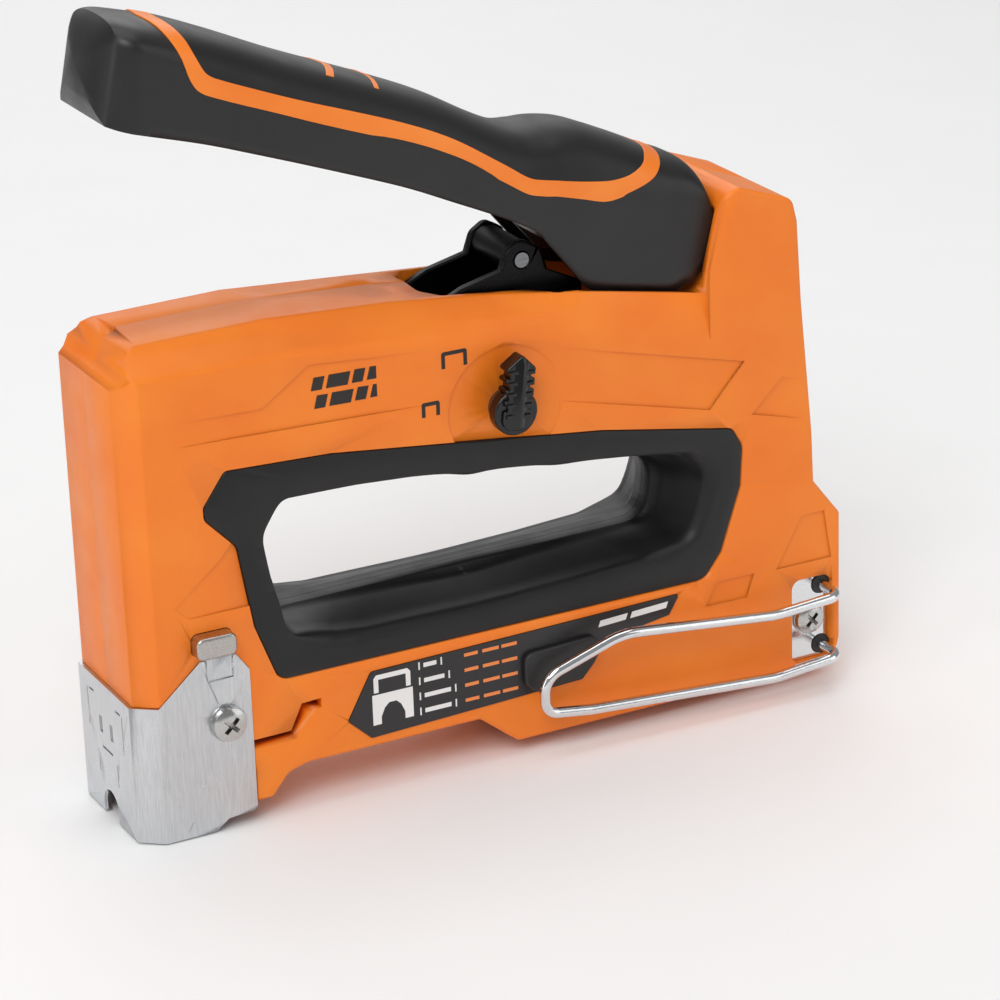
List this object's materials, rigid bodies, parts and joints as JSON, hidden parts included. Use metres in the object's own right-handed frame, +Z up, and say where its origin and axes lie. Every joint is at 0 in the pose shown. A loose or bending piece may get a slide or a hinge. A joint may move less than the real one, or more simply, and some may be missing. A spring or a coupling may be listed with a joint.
{
  "type": "hand staple gun",
  "caption": "Hand staple gun with an orange two-part housing, closed hand grip opening, squeeze lever on top, steel nose plate, turning stroke selector and wire belt hook.",
  "frame": {"origin": "on the joint plane of the housing halves, at the nose plate's front face and lowest edge, where the staple leaves", "axes": "+X from the nose to the tail, +Z up to the lever, -Y is the side with the selector knob and belt hook"},
  "size_m": [0.1549, 0.042, 0.1572],
  "materials": {
    "housing_plastic": "fine-textured satin",
    "grip_rubber": "soft matt",
    "lever_plastic": "fine-textured satin",
    "trim_plastic": "satin",
    "plate_steel": "satin nickel",
    "screw_steel": "nickel plated",
    "bar_steel": "burnished",
    "inner_steel": "plain",
    "spring_steel": "oiled",
    "bumper_rubber": "soft",
    "hook_chrome": "polished",
    "rocker_steel": "black oxide",
    "knob_plastic": "gloss",
    "inner_plastic": "plain",
    "brass": "plain",
    "label_film": "satin film",
    "black_nylon": "plain"
  },
  "bodies": {
    "housing": {"housing_left": "housing_plastic", "housing_right": "housing_plastic", "grip_insert_left": "grip_rubber", "grip_insert_right": "grip_rubber", "case_screws": "screw_steel", "nose_plate": "plate_steel", "nose_screws": "screw_steel", "driver_guide": "inner_steel", "stop_bar": "bar_steel", "stop_bumper": "bumper_rubber", "main_spring": "spring_steel", "spring_cap": "inner_plastic", "rocker_pin": "inner_steel", "pivot_pin": "inner_steel", "lever_spring": "spring_steel", "selector_spring": "spring_steel", "belt_hook": "hook_chrome", "hook_plate": "hook_chrome", "hook_bushes": "black_nylon", "hook_screw": "screw_steel", "label_panel": "label_film", "hook_pad": "black_nylon"},
    "lever": {"lever_shell": "lever_plastic", "lever_trim": "trim_plastic", "lever_grip": "grip_rubber", "lever_channel": "inner_steel"},
    "rocker": {"rocker_arm": "rocker_steel", "rocker_roller": "rocker_steel", "roller_pin": "rocker_steel"},
    "hammer_carrier": {"hammer": "inner_steel", "driver_blade": "inner_steel"},
    "selector_plunger": {"selector_collar": "brass"},
    "selector": {"selector_knob": "knob_plastic", "selector_shaft": "inner_steel", "selector_cam": "brass"},
    "magazine": {"staple_rail": "inner_steel", "magazine_cap": "inner_plastic", "pusher_rod": "inner_steel", "pusher_spring": "spring_steel"},
    "staple_pusher": {"pusher": "inner_steel"}
  },
  "joints": [
    {"name": "lever_squeeze", "type": "hinge", "parent": "housing", "child": "lever", "pos_m": [0.1175, 0, 0.099], "axis": [0, -1, 0], "range_deg": [0, 19], "stiffness_Nm_per_rad": 1, "springref_deg": -22.92},
    {"name": "rocker_swing", "type": "hinge", "parent": "housing", "child": "rocker", "pos_m": [0.058, 0, 0.084], "axis": [0, 1, 0], "range_deg": [0, 17.8]},
    {"name": "hammer_lift", "type": "slide", "parent": "housing", "child": "hammer_carrier", "axis": [0, 0, 1], "range_m": [0, 0.0139], "deforming": ["main_spring"]},
    {"name": "selector_push", "type": "slide", "parent": "housing", "child": "selector_plunger", "axis": [0, 1, 0], "range_m": [0, 0.0015], "stiffness_N_per_m": 2000, "springref_m": -0.002},
    {"name": "selector_turn", "type": "hinge", "parent": "selector_plunger", "child": "selector", "pos_m": [0.0795, 0, 0.0735], "axis": [0, -1, 0], "range_deg": [0, 83]},
    {"name": "magazine_slide", "type": "slide", "parent": "housing", "child": "magazine", "axis": [1, 0, 0], "range_m": [0, 0.095]},
    {"name": "pusher_slide", "type": "slide", "parent": "magazine", "child": "staple_pusher", "axis": [1, 0, 0], "range_m": [0, 0.085], "stiffness_N_per_m": 40, "springref_m": -0.04}
  ],
  "couplings": [
    {"joint": "rocker_swing", "follows": "lever_squeeze", "ratio": 0.9316},
    {"joint": "hammer_lift", "follows": "lever_squeeze", "m_per_rad": 0.04186}
  ]
}
